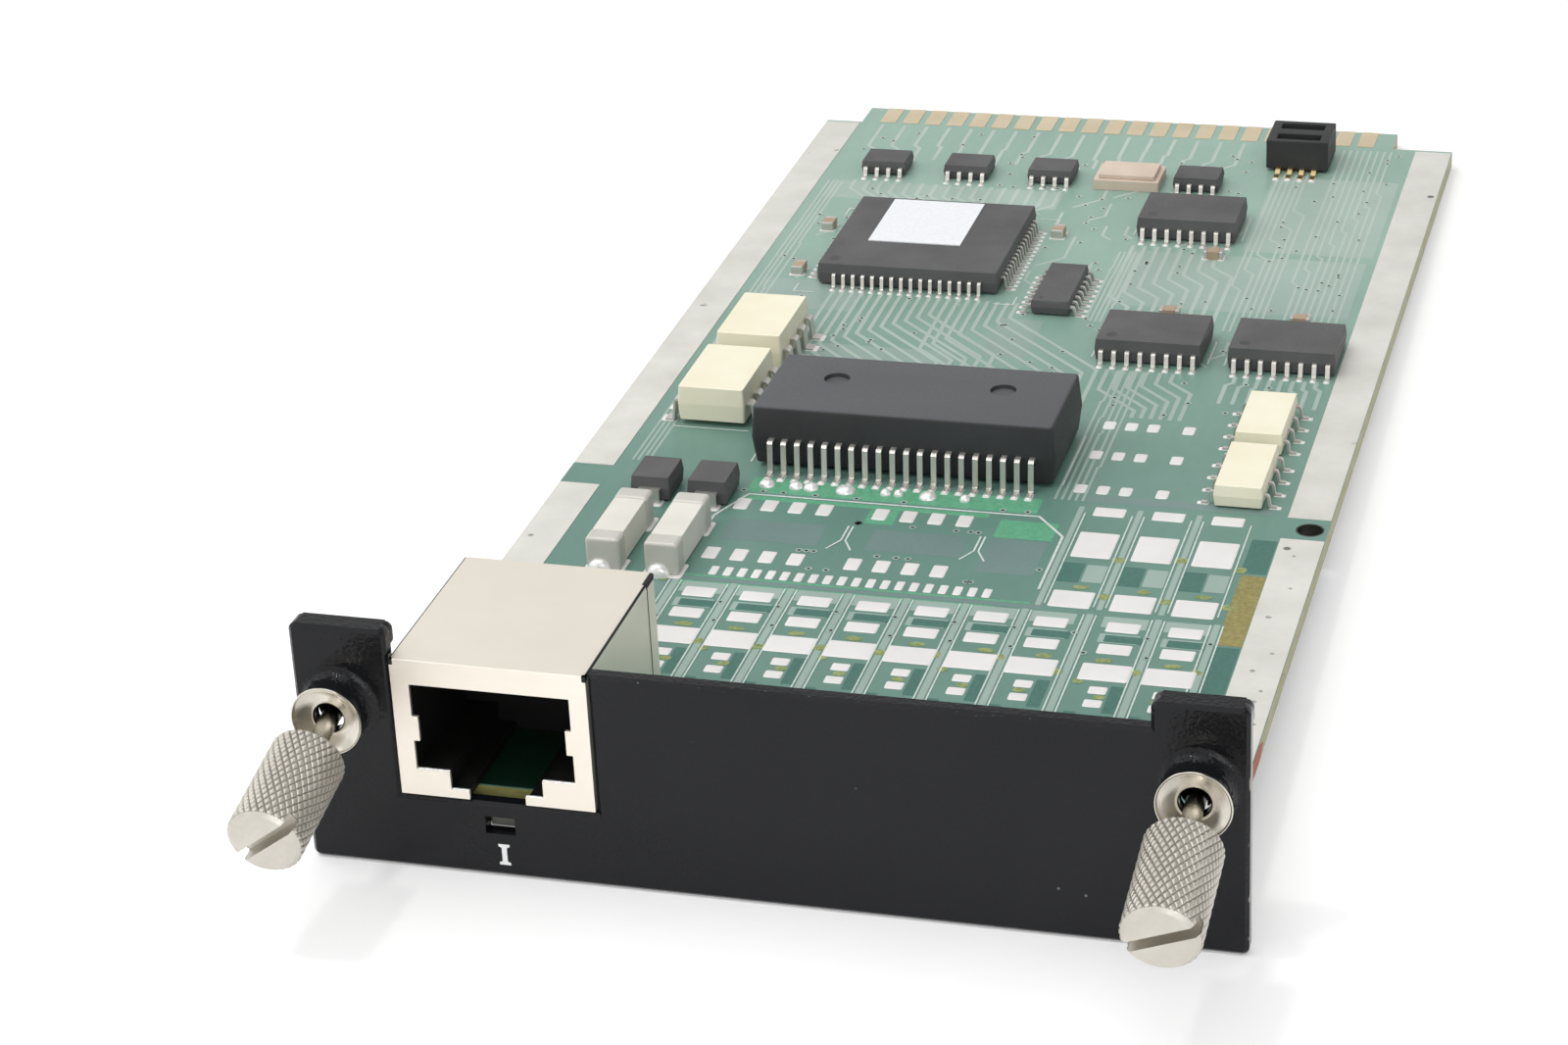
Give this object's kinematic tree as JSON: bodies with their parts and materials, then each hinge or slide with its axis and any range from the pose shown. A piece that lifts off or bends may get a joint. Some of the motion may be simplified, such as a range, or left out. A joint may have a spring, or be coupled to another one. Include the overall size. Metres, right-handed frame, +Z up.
{
  "type": "network span module card",
  "caption": "Plug-in circuit card with a painted front panel, a shielded modular jack, captive thumbscrews and a rear edge connector.",
  "frame": {"origin": "middle of the front panel's bottom edge face, half way through the sheet", "axes": "+X across the panel to the right, +Y from the panel to the rear tongue, +Z up"},
  "size_m": [0.0746, 0.172, 0.0208],
  "materials": {
    "panel_paint": "semi-gloss black paint with a fine grain",
    "block_zinc": "cast, plain",
    "board_laminate": "green solder mask over glass laminate",
    "tin": "tinned copper",
    "gold": "gold plate",
    "nickel": "satin nickel plate",
    "black_moulding": "moulded epoxy or nylon",
    "transformer_moulding": "moulded epoxy",
    "cream_moulding": "moulded epoxy",
    "white_ceramic": "unglazed",
    "beige_ceramic": "unglazed",
    "tan_ceramic": "unglazed",
    "label_paper": "blank white label",
    "light_plastic": "moulded",
    "lens_plastic": "clear, diffusing"
  },
  "bodies": {
    "card": {"front_panel": "panel_paint", "mounting_blocks": "block_zinc", "circuit_board": "board_laminate", "guide_strips": "tin", "bare_lands": "tin", "line_fuse_caps": "tin", "surge_suppressor_leads": "tin", "relay_leads": "tin", "slim_relay_leads": "tin", "transformer_leads": "tin", "framer_chip_leads": "tin", "interface_chip_leads": "tin", "memory_chip_leads": "tin", "buffer_chip_leads": "tin", "small_chip_leads": "tin", "chip_capacitor_caps": "tin", "edge_fingers": "gold", "jack_contacts": "gold", "rear_header_leads": "gold", "jack_shield": "nickel", "left_ferrule": "nickel", "right_ferrule": "nickel", "jack_housing": "black_moulding", "surge_suppressors": "black_moulding", "framer_chip": "black_moulding", "left_interface_chip": "black_moulding", "right_interface_chip": "black_moulding", "memory_chip": "black_moulding", "buffer_chip": "black_moulding", "small_chips": "black_moulding", "rear_header": "black_moulding", "transformer_body": "transformer_moulding", "front_relay": "cream_moulding", "rear_relay": "cream_moulding", "front_slim_relay": "cream_moulding", "rear_slim_relay": "cream_moulding", "line_fuse_tubes": "white_ceramic", "clock_oscillator": "beige_ceramic", "clock_oscillator_lid": "beige_ceramic", "chip_capacitors": "tan_ceramic", "framer_chip_label": "label_paper", "status_light": "light_plastic", "status_light_lens": "lens_plastic"},
    "left_ring": {"left_retaining_ring": "nickel"},
    "left_screw": {"left_thumbscrew": "nickel"},
    "right_ring": {"right_retaining_ring": "nickel"},
    "right_screw": {"right_thumbscrew": "nickel"}
  },
  "joints": [
    {"name": "left_screw_slide", "type": "slide", "parent": "card", "child": "left_ring", "axis": [0, 0.9816, 0.1908], "range_m": [0, 0.003]},
    {"name": "left_screw_turn", "type": "hinge", "parent": "left_ring", "child": "left_screw", "pos_m": [-0.0336, -0.00235, 0.01395], "axis": [0, 0.9816, 0.1908], "continuous": true},
    {"name": "right_screw_slide", "type": "slide", "parent": "card", "child": "right_ring", "axis": [0, 0.9816, 0.1908], "range_m": [0, 0.003]},
    {"name": "right_screw_turn", "type": "hinge", "parent": "right_ring", "child": "right_screw", "pos_m": [0.0336, -0.00235, 0.01395], "axis": [0, 0.9816, 0.1908], "continuous": true}
  ]
}
